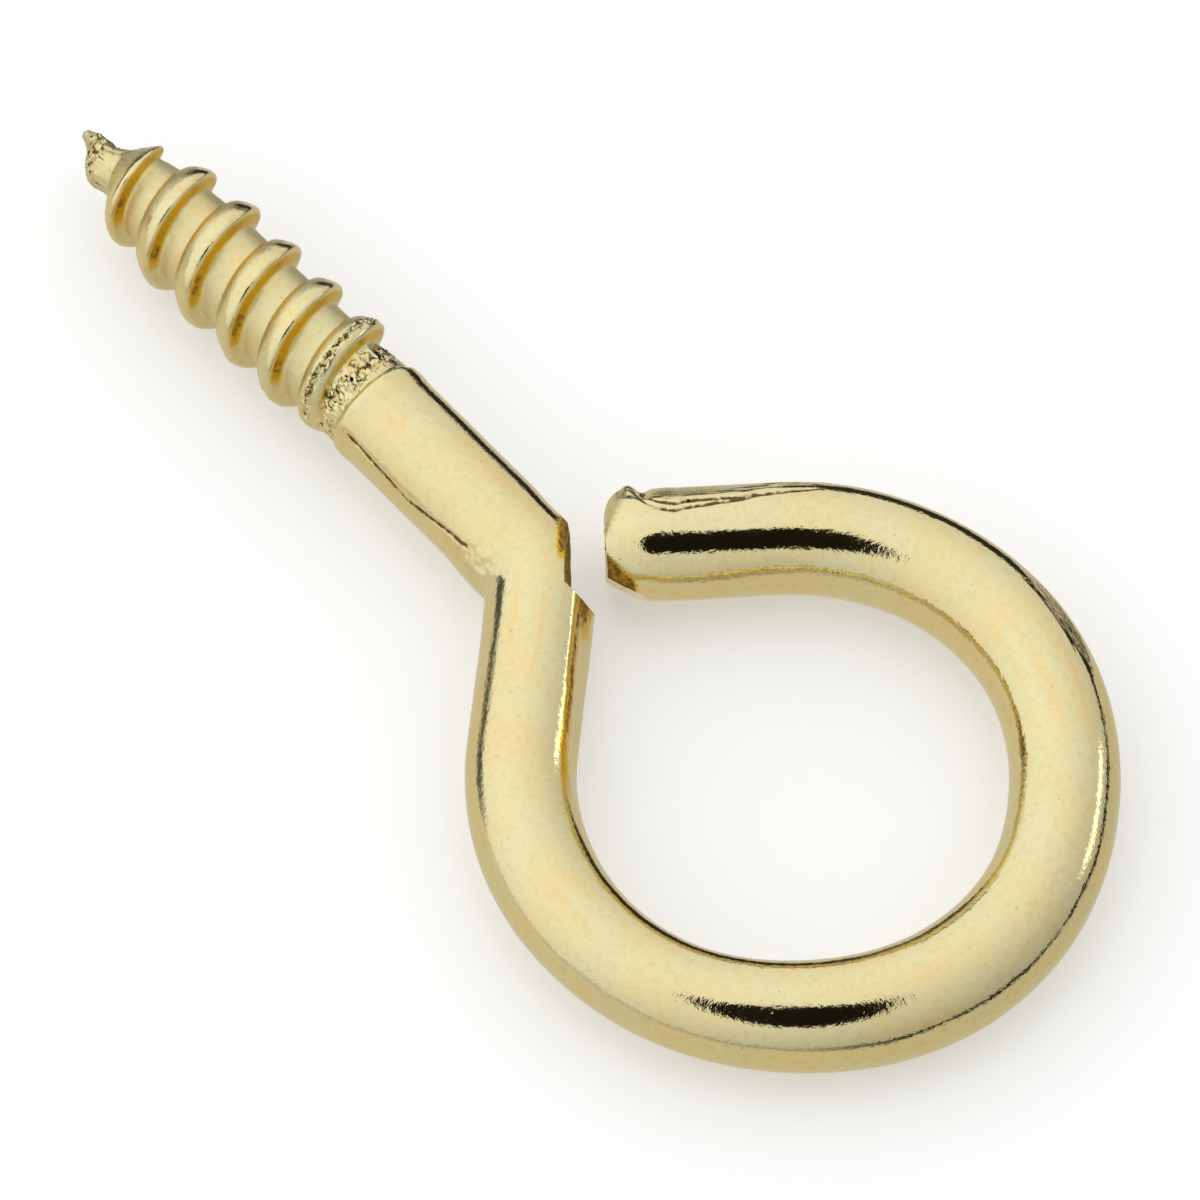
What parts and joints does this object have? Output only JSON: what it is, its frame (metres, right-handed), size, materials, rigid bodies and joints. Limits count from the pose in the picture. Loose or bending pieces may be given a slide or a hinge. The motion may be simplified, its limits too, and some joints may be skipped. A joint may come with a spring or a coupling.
{
  "type": "screw eye",
  "caption": "Screw eye bent from one round wire: a pointed wood-screw thread, a plain shank, an offset bend and an open ring.",
  "frame": {"origin": "on the shank's axis, at the shoulder where the thread meets the plain shank", "axes": "+X runs along the shank towards the eye and -X towards the point; +Z is normal to the plane of the eye; +Y points to the side on which the ring's cut end lies"},
  "size_m": [0.0329, 0.0158, 0.0032],
  "materials": {
    "brass": "bright brass plate on drawn wire, slightly uneven, darker in the thread's roots"
  },
  "bodies": {
    "root": {"screw_eye": "brass"}
  },
  "joints": []
}
